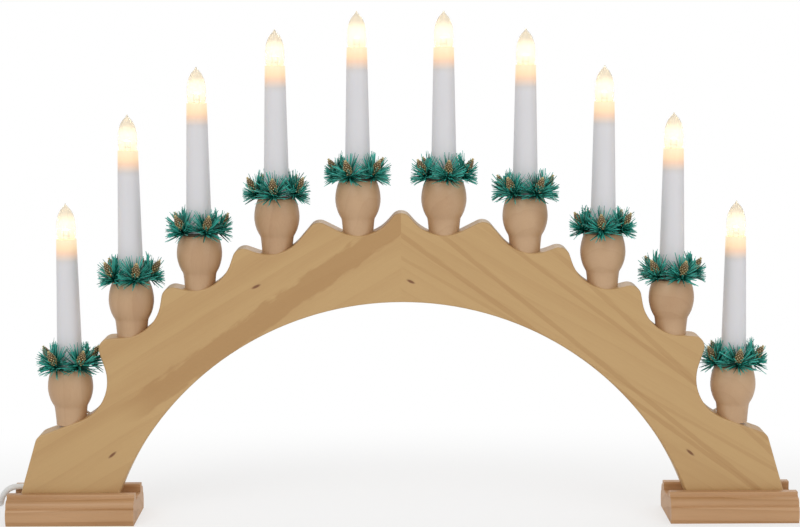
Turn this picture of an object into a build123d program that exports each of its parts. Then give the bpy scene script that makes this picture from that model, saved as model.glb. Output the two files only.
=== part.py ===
"""Candle arch: a scalloped pine arch on two moulded feet, with ten electric candles in turned cups."""

import os
from math import acos, atan2, cos, hypot, pi, radians, sin, sqrt, tan

from build123d import *

os.makedirs("parts", exist_ok=True)

# Arch board: +X right, +Y to the back, +Z up, the table at zero height
board_thickness = 22.0
opening_radius = 211.0
opening_height = 152.7
edge_round = 1.2
overrun = 5.0

# Candles, from the middle of the arch outwards
candle_spread = 229.5
candle_offset_shares = (0.128, 0.370, 0.603, 0.810, 1.0)
top_seat_height = 198.5
seat_height_shares = (1.0, 0.9395, 0.8136, 0.6524, 0.3476)

# Scallops under the cups and the crests between them
scallop_radius = 27.5
end_scallop_radius = 30.0
scallop_shift = 6.0
scallop_shift_shares = (0.0, 0.9, 0.67, 1.0, 0.5)
crest_radius = 7.5
crest_web = 2.0
crest_web_shares = (0.15, 1.0, 0.2, 0.25, 0.75)
shoulder_reach = 16.5
shoulder_height = 61.5
leg_reach = 36.0

# Feet
foot_length = 88.0
foot_overhang = 7.0
foot_bulge_half_depth = 25.0
foot_base_half_depth = 23.6
foot_step_half_depth = 24.0
foot_bead_half_depth = 22.6
foot_cove_half_depth = 18.6
foot_bulge_height = 5.0
foot_step_height = 11.2
foot_bead_height = 11.8
foot_cove_height = 17.4
foot_lip_base_height = 18.0
foot_bead_bow_share = 0.75
foot_height = 20.5
foot_lip_round = 0.8
foot_lip_thickness = 6.4
channel_floor = 15.0
channel_clearance = 0.1

# Wood screws through the feet
screw_length = 42.0
screw_radius = 2.0
screw_head_radius = 4.0
screw_head_height = 2.4
screw_recess = 0.6
screw_slot_width = 1.0
screw_clearance = 0.1
pilot_clearance = 0.05
screw_place_shares = (0.25, 0.75)

# Dowels across the apex joint
dowel_radius = 4.0
dowel_length = 40.0
dowel_lower_share = 0.25
dowel_upper_share = 0.6
dowel_clearance = 0.05

# Turned cups, sizes above the seat
cup_height = 37.0
neck_height = 15.0
neck_top_radius = 11.2
neck_base_radius = 10.8
ball_radius = 15.2
ball_middle_height = 26.4
rim_radius = 12.7
tenon_radius = 6.0
tenon_length = 12.0
tenon_clearance = 0.05
wire_bore_radius = 4.0
wire_hole_radius = 2.7
wire_hole_height = 8.0
wire_hole_sump = 1.0

# Candle sleeves, sizes above the top of the cup
sleeve_height = 90.0
sleeve_base_radius = 8.75
sleeve_top_radius = 6.9
sleeve_wall = 1.3
spigot_length = 15.0
spigot_clearance = 0.05
collar_radius = 10.8
collar_height = 1.6
bulb_chamber_depth = 9.5
bulb_chamber_radius = 6.35
socket_depth = 10.5
carrier_thickness = 2.0
carrier_hole_radius = 1.6

# Screw sockets, bulbs and centre contacts
shell_length = 10.0
shell_wall = 0.35
shell_clearance = 0.05
cap_radius = 4.75
cap_length = 7.5
thread_clearance = 0.1
tip_radius = 1.6
tip_height = 0.9
glass_radius = 6.1
glass_neck_radius = 4.5
glass_neck_depth = 9.0
glass_belly_height = 5.0
glass_taper_height = 14.0
glass_taper_radius = 4.3
glass_pip_radius = 0.9
glass_pip_height = 2.2
glass_height = 24.5
glass_wall = 0.6
mount_wire_radius = 0.25
mount_spread = 1.8
mount_height = 15.0
bead_radius = 0.8
bead_height = 6.0
leaf_thickness = 0.3
leaf_width = 3.0
leaf_foot = 5.0
leaf_gap = 0.1

# Wreaths, sizes above the top of the cup
ring_radius = 12.4
ring_wire_radius = 0.8
ring_lift = 0.3
sprig_count = 5
bud_radius = 1.7
bud_length = 4.2
bud_tilt = 60.0
needle_root = 2.0
needle_width = 0.9
needle_taper = 1.4
low_needle_length = 10.3
low_needle_angle = 70.0
low_needle_turns = (-110.0, -55.0, 0.0, 55.0, 110.0)
high_needle_length = 10.6
high_needle_angle = 45.0
high_needle_turns = (-120.0, 0.0, 120.0)
cone_base_radius = 1.2
cone_radius = 2.4
cone_tip_radius = 0.4
cone_length = 8.5
cone_belly_share = 0.38
wreath_turns = (20.0, 74.0, 8.0, 50.0, 31.0, 63.0, 14.0, 44.0, 2.0, 57.0)

# Wiring on the back of the arch
wire_radius = 0.9
wire_gap = 0.5
wire_pair_spacing = 1.3
wire_bend = 3.0
wire_end_gap = 0.3
link_line_depth = 20.0
return_line_depth = 26.0
link_lead = 7.0
staple_wire_radius = 0.5
staple_depth = 6.0
staple_bend = 1.2
staple_gap = 0.3
staple_slack = 0.9
staple_clearance = 0.05
staple_place_share = 0.42

# Mains cord, its groove in the left leg and the strap over it
cord_radius = 2.1
bend_run_share = 0.45
cord_end_run = 8.0
groove_width = 6.2
groove_depth = 5.0
groove_top = 57.0
strap_length = 22.0
strap_width = 8.0
strap_thickness = 1.2
strap_height = 40.5
strap_screw_spacing = 14.0
strap_screw_radius = 1.4
strap_screw_length = 9.0
strap_head_radius = 2.6
strap_head_height = 1.4
strap_head_round = 0.7
strap_corner_round = 2.6

# The cord's way out of the leg, over the end of the foot and down to the table, in place
cord_route = (
    (-243.0, 8.4, 46.0),
    (-243.0, 8.4, 33.5),
    (-250.0, 8.4, 23.0),
    (-260.0, 8.4, 19.4),
    (-268.0, 8.4, 20.2),
    (-275.8, 8.7, 19.2),
    (-281.2, 10.2, 13.8),
    (-283.6, 13.6, 7.9),
    (-285.1, 19.2, 4.4),
)

# Coil of the put-away length: two layers, wound inwards and out again
coil_centre = (-328.0, 20.0)
coil_inner_radius = 16.0
coil_turns = 4
coil_start_angle = 30.0
coil_quarters_out = 15
coil_pitch_gap = 0.45
tie_thickness = 0.8
tie_width = 5.0
tie_gap = 0.4
tie_angle = 300.0
tie_head_length = 6.0
tie_head_height = 3.5

# Plug with two round pins, lying beside the coil
plug_entry = (-371.0, 39.1)
plug_heading = 195.0
relief_length = 18.0
relief_radius = 3.2
relief_root_radius = 5.0
plug_length = 27.0
plug_height = 13.7
plug_back_width = 20.0
plug_face_width = 35.0
plug_side_share = 0.6
plug_round = 2.0
pin_radius = 2.0
pin_length = 19.0
pin_spacing = 18.6
pin_seat = 6.0
pin_round = 1.0
pin_clearance = 0.02

# Derived places
half_board = board_thickness / 2
opening_centre = opening_height - opening_radius
candle_x = [candle_spread * share for share in candle_offset_shares]
seat_z = [top_seat_height * share for share in seat_height_shares]
leg_outer = candle_spread + leg_reach
leg_inner = sqrt(opening_radius**2 - (channel_floor - opening_centre) ** 2)
foot_end = leg_outer + foot_overhang
socket_floor = sleeve_height - bulb_chamber_depth - socket_depth
wire_top = cup_height + socket_floor - carrier_thickness - wire_end_gap
wire_y = half_board + wire_gap + wire_radius
spots = [(-x, z) for x, z in zip(candle_x[::-1], seat_z[::-1])] + list(zip(candle_x, seat_z))


def save(name, *solids):
    """Write one node, which may hold several separate solids."""
    shape = solids[0] if len(solids) == 1 else Compound(children=list(solids))
    export_step(shape, f"parts/{name}.step")


def point(x, z):
    return Vector(x, 0, z)


def profile_face(edges):
    return Face(Wire(edges))


def turned(edges):
    """A turned solid from a closed profile of edges in the XZ plane."""
    return revolve(profile_face(edges), Axis.Z)


def polygon_edges(points):
    return [Line(a, b) for a, b in zip(points, points[1:] + points[:1])]


def cylinder_between(start, end, radius):
    axis = Vector(end) - Vector(start)
    return extrude(Plane(origin=start, z_dir=axis) * Circle(radius), amount=axis.length)


def tube(points, radius, bends):
    """A round tube along straight runs joined by tangent arcs."""
    path = FilletPolyline(*points, radius=bends)
    return sweep(Plane(origin=path @ 0, z_dir=path % 0) * Circle(radius), path=path)


# Outline of the right half of the arch: crests and scallops in turn, joined by common tangents
def scallop(index):
    radius = end_scallop_radius if index == len(candle_x) - 1 else scallop_radius
    shift = scallop_shift * scallop_shift_shares[index]
    return candle_x[index] + shift, seat_z[index] + sqrt(radius**2 - shift**2), radius


def crest_between(first, second, web):
    """The centre below two scallops that stands clear of both by the crest's radius and its web."""
    near = first[2] + crest_radius + web
    far = second[2] + crest_radius + web
    span = hypot(second[0] - first[0], second[1] - first[1])
    along = (near**2 - far**2 + span**2) / (2 * span)
    drop = sqrt(near**2 - along**2)
    ux = (second[0] - first[0]) / span
    uz = (second[1] - first[1]) / span
    return first[0] + along * ux + drop * uz, first[1] + along * uz - drop * ux, crest_radius


def common_normal(first, second, side):
    """The outward normal shared by two circles that the outline follows on opposite sides."""
    dx = second[0] - first[0]
    dz = second[1] - first[1]
    span = hypot(dx, dz)
    share = side * (first[2] + second[2]) / span
    rest = sqrt(1 - share**2)
    return Vector((share * dx - rest * dz) / span, 0, (share * dz + rest * dx) / span)


def arch_half():
    scallops = [scallop(i) for i in range(len(candle_x))]
    mirrored = (-scallops[0][0], scallops[0][1], scallops[0][2])
    webs = [crest_web * share for share in crest_web_shares]
    chain = []
    for before, after, web in zip([mirrored] + scallops, scallops, webs):
        chain += [crest_between(before, after, web), after]
    chain.append((candle_spread + shoulder_reach, shoulder_height - crest_radius, crest_radius))

    sides = [1 if i % 2 == 0 else -1 for i in range(len(chain))]
    normals = [Vector(0, 0, 1)]
    normals += [common_normal(a, b, side) for a, b, side in zip(chain, chain[1:], sides)]
    foot_point = point(leg_outer, channel_floor)
    to_foot = foot_point - point(chain[-1][0], chain[-1][1])
    leg_angle = atan2(to_foot.Z, to_foot.X) + acos(crest_radius / to_foot.length)
    normals.append(Vector(cos(leg_angle), 0, sin(leg_angle)))

    edges = []
    for (x, z, radius), side, n_in, n_out in zip(chain, sides, normals, normals[1:]):
        centre = point(x, z)
        start, middle, end = (
            centre + n * (side * radius) for n in (n_in, (n_in + n_out).normalized(), n_out)
        )
        if edges:
            edges.append(Line(edges[-1] @ 1, start))
        edges.append(ThreePointArc(start, middle, end))

    corner = point(leg_inner, channel_floor)
    opening_top = point(0, opening_height)
    mid_angle = (pi / 2 + atan2(channel_floor - opening_centre, leg_inner)) / 2
    opening_middle = point(
        opening_radius * cos(mid_angle), opening_centre + opening_radius * sin(mid_angle)
    )
    edges.append(Line(edges[-1] @ 1, foot_point))
    edges.append(Line(foot_point, corner))
    edges.append(ThreePointArc(corner, opening_middle, opening_top))
    edges.append(Line(opening_top, edges[0] @ 0))
    return profile_face(edges)


outline = arch_half()
board = extrude(outline, amount=half_board, both=True)
seat_block = extrude(outline, amount=half_board + overrun, both=True)
face_edges = [
    e
    for e in board.edges()
    if abs(abs((e @ 0.5).Y) - half_board) < edge_round / 10
    and (e @ 0.5).X > edge_round
    and (e @ 0.5).Z > channel_floor + edge_round
]
board = fillet(face_edges, edge_round)

# Holes in the board: cup tenons, apex dowels and foot screws
dowel_rise = top_seat_height - opening_height
dowel_heights = [opening_height + dowel_rise * s for s in (dowel_lower_share, dowel_upper_share)]
screw_x = [leg_inner + (leg_outer - leg_inner) * share for share in screw_place_shares]
for x, z in zip(candle_x, seat_z):
    depth = tenon_length + tenon_clearance
    board -= cylinder_between((x, 0, z - depth), (x, 0, z + overrun), tenon_radius + tenon_clearance)
for z in dowel_heights:
    reach = dowel_length / 2 + dowel_clearance
    board -= cylinder_between((-overrun, 0, z), (reach, 0, z), dowel_radius + dowel_clearance)
for x in screw_x:
    tip = screw_recess + screw_length + screw_clearance
    board -= cylinder_between((x, 0, 0), (x, 0, tip), screw_radius + pilot_clearance)
right_board = board
left_board = mirror(board, about=Plane.YZ)

# Groove on the back of the left leg, along the cord's own way
groove_floor = half_board - groove_depth
groove_points = [(x, groove_floor, z) for x, _, z in cord_route[:4]]
groove_points[0] = (cord_route[0][0], groove_floor, groove_top)
groove_end = (-foot_end - overrun, groove_floor, cord_route[3][2])
groove_points.append(groove_end)
for start, end in zip(groove_points, groove_points[1:]):
    run = Vector(end) - Vector(start)
    frame = Plane(origin=(Vector(start) + Vector(end)) / 2, x_dir=run, z_dir=(0, 1, 0))
    left_board -= extrude(frame * Rectangle(run.length, groove_width), amount=groove_depth + overrun)
for x, y, z in groove_points:
    left_board -= cylinder_between((x, y, z), (x, half_board + overrun, z), groove_width / 2)
rebate_x, _, rebate_z = cord_route[3]
left_board -= Pos(rebate_x, groove_floor, rebate_z) * Box(
    foot_end, groove_depth + overrun, rebate_z, align=(Align.MAX, Align.MIN, Align.MAX)
)


# Wiring: each link runs from one socket down, out at the back, along the board and into the next
def on_line(angle, depth):
    """A point on the back, a depth inside the circle that the seats lie on."""
    radius = top_seat_height - opening_centre - depth
    return Vector(radius * cos(angle), wire_y, opening_centre + radius * sin(angle))


def seat_angle(spot):
    return atan2(spot[1] - opening_centre, spot[0])


def wire_end(spot, side):
    """The points of a wire from the socket down and out of the back of a cup."""
    x = spot[0] + side * wire_pair_spacing
    hole = spot[1] + wire_hole_height
    return [Vector(x, 0, spot[1] + wire_top), Vector(x, 0, hole), Vector(x, wire_y, hole)]


lead_angle = link_lead / (top_seat_height - opening_centre)
link_wires = []
staple_legs = []
for left, right in zip(spots, spots[1:]):
    start = on_line(seat_angle(left) - lead_angle, link_line_depth)
    end = on_line(seat_angle(right) + lead_angle, link_line_depth)
    points = wire_end(left, 1) + [start, end] + wire_end(right, -1)[::-1]
    link_wires.append(tube(points, wire_radius, wire_bend))
    place = start + (end - start) * staple_place_share
    inward = (Vector(0, wire_y, opening_centre) - place).normalized()
    clear = wire_radius + staple_gap + staple_wire_radius
    outer_leg = place - inward * clear
    inner_leg = place + inward * (return_line_depth - link_line_depth + clear + staple_slack)
    staple_legs.append((outer_leg, inner_leg))

crown_y = wire_y + wire_radius + staple_gap + staple_wire_radius
leg_end_y = half_board - staple_depth
staples = []
for legs in staple_legs:
    (ax, az), (bx, bz) = ((leg.X, leg.Z) for leg in legs)
    staple_points = [(ax, leg_end_y, az), (ax, crown_y, az), (bx, crown_y, bz), (bx, leg_end_y, bz)]
    staples.append(tube(staple_points, staple_wire_radius, staple_bend))
    for x, z in ((ax, az), (bx, bz)):
        depth = leg_end_y - staple_clearance
        hole = cylinder_between((x, depth, z), (x, crown_y, z), staple_wire_radius + staple_clearance)
        if x < 0:
            left_board -= hole
        else:
            right_board -= hole

# The two cores of the cord: one feeds the first candle, the other comes back from the last
core_x, core_y, core_z = cord_route[0]
core_start = core_z + wire_end_gap
core_bend_z = core_z + wire_bend + wire_radius
core_out_z = core_bend_z + wire_y - core_y


def core_points(side):
    x = core_x + side * (wire_radius + wire_end_gap / 2)
    return [Vector(x, core_y, core_start), Vector(x, core_y, core_bend_z), Vector(x, wire_y, core_out_z)]


feed_wire = tube(core_points(-1) + wire_end(spots[0], -1)[::-1], wire_radius, wire_bend)
return_angles = [seat_angle(spot) for spot in spots[::-1]]
return_line = [on_line(angle, return_line_depth) for angle in return_angles]
return_start = wire_end(spots[-1], 1)
return_wire = tube(return_start + return_line + core_points(1)[::-1], wire_radius, wire_bend)

# Strap over the cord's groove, with its two screws
strap_x = [core_x + side * strap_screw_spacing / 2 for side in (-1, 1)]
strap_y = half_board + strap_thickness
low_corner = Align.MIN
strap = Pos(core_x, half_board, strap_height) * Box(
    strap_length, strap_thickness, strap_width, align=(Align.CENTER, low_corner, Align.CENTER)
)
strap = fillet(strap.edges().filter_by(Axis.Y), strap_corner_round)
strap_screws = []
for x in strap_x:
    head_end = strap_y + strap_head_height
    tip = strap_y - strap_screw_length
    shank = cylinder_between((x, tip, strap_height), (x, strap_y, strap_height), strap_screw_radius)
    head = cylinder_between((x, strap_y, strap_height), (x, head_end, strap_height), strap_head_radius)
    head = fillet(head.edges().sort_by(Axis.Y)[-1], strap_head_round)
    strap_screws.append(shank + head)
    bore_radius = strap_screw_radius + pilot_clearance
    bore_end = tip - pilot_clearance
    bore = cylinder_between((x, bore_end, strap_height), (x, strap_y, strap_height), bore_radius)
    strap -= bore
    left_board -= bore

save("arch_half_left", left_board)
save("arch_half_right", right_board)
save("link_wires", *link_wires)
save("feed_wires", feed_wire, return_wire)
save("wire_staples", *staples)
save("cord_strap", strap)
save("strap_screws", *strap_screws)

# Dowels across the apex joint
half_dowel = dowel_length / 2
dowels = [cylinder_between((-half_dowel, 0, z), (half_dowel, 0, z), dowel_radius) for z in dowel_heights]
save("apex_dowels", *dowels)


# Feet: one moulded profile, front and back alike, with a channel for the leg
def foot_profile(side):
    """Half of the profile, from the middle of the base to the middle of the channel."""
    channel = side * (half_board + channel_clearance)
    lip = side * (half_board + channel_clearance + foot_lip_thickness)
    cove = side * foot_cove_half_depth
    bead = side * foot_bead_half_depth
    bow = bead + (cove - bead) * (1 - foot_bead_bow_share)
    bow_z = foot_bead_height + (foot_cove_height - foot_bead_height) * foot_bead_bow_share
    base = (side * foot_base_half_depth, 0)
    bulge = (side * foot_bulge_half_depth, foot_bulge_height)
    step = (side * foot_step_half_depth, foot_step_height)
    places = [base, bulge, step, (bead, foot_bead_height), (bow, bow_z), (cove, foot_cove_height)]
    places += [(lip, foot_lip_base_height), (lip, foot_height)]
    places += [(channel, foot_height), (channel, channel_floor)]
    p = [Vector(0, y, z) for y, z in places]
    return [
        ThreePointArc(p[0], p[1], p[2]),
        Line(p[2], p[3]),
        ThreePointArc(p[3], p[4], p[5]),
        *[Line(a, b) for a, b in zip(p[5:], p[6:])],
    ]


front = foot_profile(-1)
back = foot_profile(1)
foot_face = profile_face(
    front + back + [Line(front[0] @ 0, back[0] @ 0), Line(front[-1] @ 1, back[-1] @ 1)]
)
foot = extrude(foot_face, amount=foot_length, dir=(1, 0, 0))
foot = Pos(foot_end - foot_length, 0, 0) * foot
lip_edges = [
    e for e in foot.edges().filter_by(Axis.X) if abs((e @ 0.5).Z - foot_height) < foot_lip_round / 2
]
foot = fillet(lip_edges, foot_lip_round)
screws = []
for x in screw_x:
    head_top = screw_recess + screw_head_height
    head = Pos(x, 0, screw_recess) * Cone(
        screw_head_radius, screw_radius, screw_head_height, align=(Align.CENTER, Align.CENTER, Align.MIN)
    )
    shank = cylinder_between((x, 0, screw_recess), (x, 0, screw_recess + screw_length), screw_radius)
    slot = Pos(x, 0, screw_recess) * Box(2 * screw_head_radius, screw_slot_width, screw_head_height)
    screws.append(head + shank - slot)
    foot -= cylinder_between((x, 0, -overrun), (x, 0, foot_height), screw_radius + screw_clearance)
    foot -= cylinder_between((x, 0, -overrun), (x, 0, screw_recess), screw_head_radius + screw_clearance)
    foot -= Pos(x, 0, screw_recess) * Cone(
        screw_head_radius + screw_clearance,
        screw_radius + screw_clearance,
        screw_head_height,
        align=(Align.CENTER, Align.CENTER, Align.MIN),
    )
save("foot_right", foot)
save("foot_left", mirror(foot, about=Plane.YZ))
save("foot_screws", *screws, *[mirror(screw, about=Plane.YZ) for screw in screws])


# Turned cups, each coped to the scallop that it stands in
def side_arc(widest, end):
    """An arc in the XZ plane that leaves its widest point upright and ends at a narrower one."""
    reach = widest.X - end.X
    rise = end.Z - widest.Z
    radius = (reach**2 + rise**2) / (2 * reach)
    half_turn = atan2(rise, radius - reach) / 2
    middle = point(
        widest.X - radius * (1 - cos(half_turn)), widest.Z + radius * sin(half_turn)
    )
    return ThreePointArc(widest, middle, end)


neck_foot = point(neck_base_radius, -neck_base_radius)
neck_top = point(neck_top_radius, neck_height)
ball_side = point(ball_radius, ball_middle_height)
rim = point(rim_radius, cup_height)
cup_blank = turned(
    [
        Line(point(0, -neck_base_radius), neck_foot),
        Line(neck_foot, neck_top),
        side_arc(ball_side, neck_top),
        side_arc(ball_side, rim),
        Line(rim, point(0, cup_height)),
        Line(point(0, cup_height), point(0, -neck_base_radius)),
    ]
)
spigot_floor = cup_height - spigot_length - spigot_clearance
spigot_bore = sleeve_base_radius + spigot_clearance
bore_floor = wire_hole_height - wire_hole_radius - wire_hole_sump
for index, (x, z) in enumerate(zip(candle_x, seat_z)):
    cup = Pos(x, 0, z) * cup_blank - seat_block
    cup = cup.solids().sort_by(Axis.Z)[-1]
    cup = cup + cylinder_between((x, 0, z - tenon_length), (x, 0, z + bore_floor), tenon_radius)
    cup -= cylinder_between((x, 0, z + spigot_floor), (x, 0, z + cup_height + overrun), spigot_bore)
    cup -= cylinder_between((x, 0, z + bore_floor), (x, 0, z + cup_height), wire_bore_radius)
    hole_z = z + wire_hole_height
    cup -= cylinder_between((x, 0, hole_z), (x, ball_radius + overrun, hole_z), wire_hole_radius)
    save(f"candle_cup_{len(candle_x) + 1 + index:02d}", cup)
    save(f"candle_cup_{len(candle_x) - index:02d}", mirror(cup, about=Plane.YZ))

# Candle sleeves, with a collar on the cup and a socket at the top
socket_radius = cap_radius + thread_clearance + shell_wall + shell_clearance
chamber_floor = sleeve_height - bulb_chamber_depth
carrier_base = socket_floor - carrier_thickness
taper = (sleeve_base_radius - sleeve_top_radius) / (sleeve_height - collar_height)
bore_top_radius = sleeve_base_radius - taper * (carrier_base - collar_height) - sleeve_wall
bore_base_radius = sleeve_base_radius - sleeve_wall
sleeve = turned(
    polygon_edges(
        [
            point(bore_base_radius, -spigot_length),
            point(sleeve_base_radius, -spigot_length),
            point(sleeve_base_radius, 0),
            point(collar_radius, 0),
            point(collar_radius, collar_height),
            point(sleeve_base_radius, collar_height),
            point(sleeve_top_radius, sleeve_height),
            point(bulb_chamber_radius, sleeve_height),
            point(bulb_chamber_radius, chamber_floor),
            point(socket_radius, chamber_floor),
            point(socket_radius, socket_floor),
            point(carrier_hole_radius, socket_floor),
            point(carrier_hole_radius, carrier_base),
            point(bore_top_radius, carrier_base),
            point(bore_base_radius, 0),
        ]
    )
)
shell_inner = cap_radius + thread_clearance
shell = turned(
    polygon_edges(
        [
            point(shell_inner, socket_floor),
            point(shell_inner + shell_wall, socket_floor),
            point(shell_inner + shell_wall, socket_floor + shell_length),
            point(shell_inner, socket_floor + shell_length),
        ]
    )
)


# Bulb: a pointed glass on a screw cap, with its filament mount
def glass_form(inset, top):
    """The turned form of the glass, smaller all round by an inset."""
    neck = point(glass_neck_radius - inset, sleeve_height - glass_neck_depth)
    belly = point(glass_radius - inset, sleeve_height + glass_belly_height)
    slope = point(glass_taper_radius - inset, sleeve_height + glass_taper_height)
    pip = point(glass_pip_radius - inset, top - glass_pip_height)
    tip = point(0, top)
    base = point(0, neck.Z)
    return turned(
        [
            Line(base, neck),
            side_arc(belly, neck),
            side_arc(belly, slope),
            Line(slope, pip),
            Line(pip, tip),
            Line(tip, base),
        ]
    )


glass_top = sleeve_height + glass_height
cap_top = sleeve_height - glass_neck_depth
cap_base = cap_top - cap_length
tip_base = cap_base - tip_height
glass = glass_form(0, glass_top) - glass_form(glass_wall, glass_top - glass_pip_height)
cap = cylinder_between((0, 0, cap_base), (0, 0, cap_top), cap_radius)
cap += cylinder_between((0, 0, tip_base), (0, 0, cap_base), tip_radius)
mount_top = cap_top + mount_height
bead_z = cap_top + bead_height
bead_end = mount_spread + bead_radius
mount = cylinder_between((-bead_end, 0, bead_z), (bead_end, 0, bead_z), bead_radius)
for side in (-1, 1):
    x = side * mount_spread
    mount += cylinder_between((x, 0, cap_top), (x, 0, mount_top), mount_wire_radius)
mount += cylinder_between((-mount_spread, 0, mount_top), (mount_spread, 0, mount_top), mount_wire_radius)

# Contact leaf: a bent brass strip between the socket's floor and the tip of the bulb
leaf_top = tip_base - leaf_gap
half_leaf = leaf_foot / 2
leaf_corners = [
    point(-half_leaf, socket_floor),
    point(half_leaf, socket_floor),
    point(half_leaf, leaf_top),
    point(-tip_radius, leaf_top),
    point(-tip_radius, leaf_top - leaf_thickness),
    point(half_leaf - leaf_thickness, leaf_top - leaf_thickness),
    point(half_leaf - leaf_thickness, socket_floor + leaf_thickness),
    point(-half_leaf, socket_floor + leaf_thickness),
]
leaf = extrude(profile_face(polygon_edges(leaf_corners)), amount=leaf_width / 2, both=True)

# Wreath sprig: a stretch of the ring with a bud, a fan of needles and a cone on the bud's end
sprig_turn = 360.0 / sprig_count
bud_up = Vector(cos(radians(bud_tilt)), 0, sin(radians(bud_tilt)))
bud_out = Vector(sin(radians(bud_tilt)), 0, -cos(radians(bud_tilt)))
ring_point = Vector(ring_radius, 0, 0)


def needle(angle, turn, length):
    aside = bud_out * cos(radians(turn)) + Vector(0, 1, 0) * sin(radians(turn))
    direction = bud_up * cos(radians(angle)) + aside * sin(radians(angle))
    root = Plane(origin=ring_point + bud_up * needle_root, z_dir=direction)
    return extrude(root * Rectangle(needle_width, needle_width), amount=length, taper=needle_taper)


ring_stretch = revolve(
    Plane(origin=ring_point, z_dir=(0, 1, 0)) * Circle(ring_wire_radius), Axis.Z, sprig_turn
)
ring_stretch = Rot(0, 0, -sprig_turn / 2) * ring_stretch
bud = cylinder_between(ring_point, ring_point + bud_up * bud_length, bud_radius)
needles = [needle(low_needle_angle, turn, low_needle_length) for turn in low_needle_turns]
needles += [needle(high_needle_angle, turn, high_needle_length) for turn in high_needle_turns]
sprig = ring_stretch.fuse(bud, *needles)
cone_belly = point(cone_radius, cone_length * cone_belly_share)
cone_base = point(cone_base_radius, 0)
cone_tip = point(cone_tip_radius, cone_length)
fir_cone = turned(
    [
        Line(point(0, 0), cone_base),
        side_arc(cone_belly, cone_base),
        side_arc(cone_belly, cone_tip),
        Line(cone_tip, point(0, cone_length)),
        Line(point(0, cone_length), point(0, 0)),
    ]
)
cone_seat = Plane(origin=ring_point + bud_up * bud_length, z_dir=bud_up)
fir_cone = cone_seat * fir_cone
ring_height = cup_height + ring_lift + ring_wire_radius

shells = []
sleeves = []
for number, ((x, z), turn) in enumerate(zip(spots, wreath_turns), start=1):
    on_cup = Pos(x, 0, z + cup_height)
    sleeves.append(on_cup * sleeve)
    shells.append(on_cup * shell)
    save(f"bulb_{number:02d}", on_cup * glass, on_cup * cap, on_cup * mount)
    save(f"contact_leaf_{number:02d}", on_cup * leaf)
    pieces = []
    for sprig_number in range(sprig_count):
        place = Pos(x, 0, z + ring_height) * Rot(0, 0, turn + sprig_turn * sprig_number)
        pieces += [place * sprig, place * fir_cone]
    save(f"wreath_{number:02d}", *pieces)
save("candle_sleeves", *sleeves)
save("lamp_sockets", *shells)


# Coil: quarter turns as pairs of tangent arcs, in along the lower layer and out along the upper one
def corner_arc(start, corner, end):
    """The arc from start to end whose end tangents meet at a corner."""
    chord_middle = (start + end) / 2
    half_chord = (end - start).length / 2
    to_corner = corner - chord_middle
    half_angle = atan2(to_corner.length, half_chord) / 2
    return ThreePointArc(start, chord_middle + to_corner.normalized() * half_chord * tan(half_angle), end)


def biarc(start, start_way, end, end_way):
    span = end - start
    both = start_way + end_way
    bend = 2 * (1 - start_way.dot(end_way))
    arm = (sqrt(span.dot(both) ** 2 + bend * span.dot(span)) - span.dot(both)) / bend
    first = start + start_way * arm
    second = end - end_way * arm
    middle = (first + second) / 2
    return [corner_arc(start, first, middle), corner_arc(middle, second, end)]


cord_diameter = 2 * cord_radius
coil_pitch = cord_diameter + coil_pitch_gap
coil_low = tie_thickness + tie_gap + cord_radius
climb_middle = 4 * coil_turns + 1
quarter_step = coil_pitch / 4
coil_outer_radius = coil_inner_radius + climb_middle * quarter_step
coil_nodes = []
for index in range(climb_middle + coil_quarters_out + 2):
    angle = radians(coil_start_angle) + index * pi / 2
    past_middle = index - climb_middle
    radius = coil_inner_radius + abs(past_middle) * quarter_step
    height = coil_low + coil_pitch * min(max(past_middle + 1, 0), 2) / 2
    outward = Vector(cos(angle), sin(angle), 0)
    around = Vector(-sin(angle), cos(angle), 0)
    if past_middle == 0:
        way = around * radius + Vector(0, 0, 2 * coil_pitch / pi)
    else:
        swell = coil_pitch / (2 * pi)
        way = around * radius + outward * (swell if past_middle > 0 else -swell)
    place = Vector(*coil_centre, height) + outward * radius
    coil_nodes.append((place, way.normalized()))
coil_in, way_in = coil_nodes[0]
coil_out, way_out = coil_nodes[-1]
coil_start = coil_in - way_in * cord_diameter
coil_end = coil_out + way_out * cord_diameter
coil_edges = [Line(coil_start, coil_in)]
for (start, start_way), (end, end_way) in zip(coil_nodes, coil_nodes[1:]):
    coil_edges += biarc(start, start_way, end, end_way)
coil_edges.append(Line(coil_out, coil_end))
coil_path = Wire(coil_edges)
coil = sweep(Plane(origin=coil_start, z_dir=way_in) * Circle(cord_radius), path=coil_path)
samples = int(coil_path.length / cord_radius)
trail = [coil_path @ (i / samples) for i in range(samples + 1)]
apart = int(pi * coil_inner_radius / cord_radius)
least = min((a - b).length for i, a in enumerate(trail) for b in trail[i + apart :])
print("coil: least gap to itself", round(least - cord_diameter, 2), "mm")
print("coil: volume over section times length", coil.volume / (pi * cord_radius**2 * coil_path.length))


# Free stretches of the cord
def cord_radii(points):
    """For each corner of a route the largest arc that its two runs allow."""
    radii = []
    for before, corner, after in zip(points, points[1:], points[2:]):
        first = corner - before
        second = after - corner
        half_turn = radians(first.get_angle(second)) / 2
        radii.append(bend_run_share * min(first.length, second.length) / tan(half_turn))
    return radii


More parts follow.
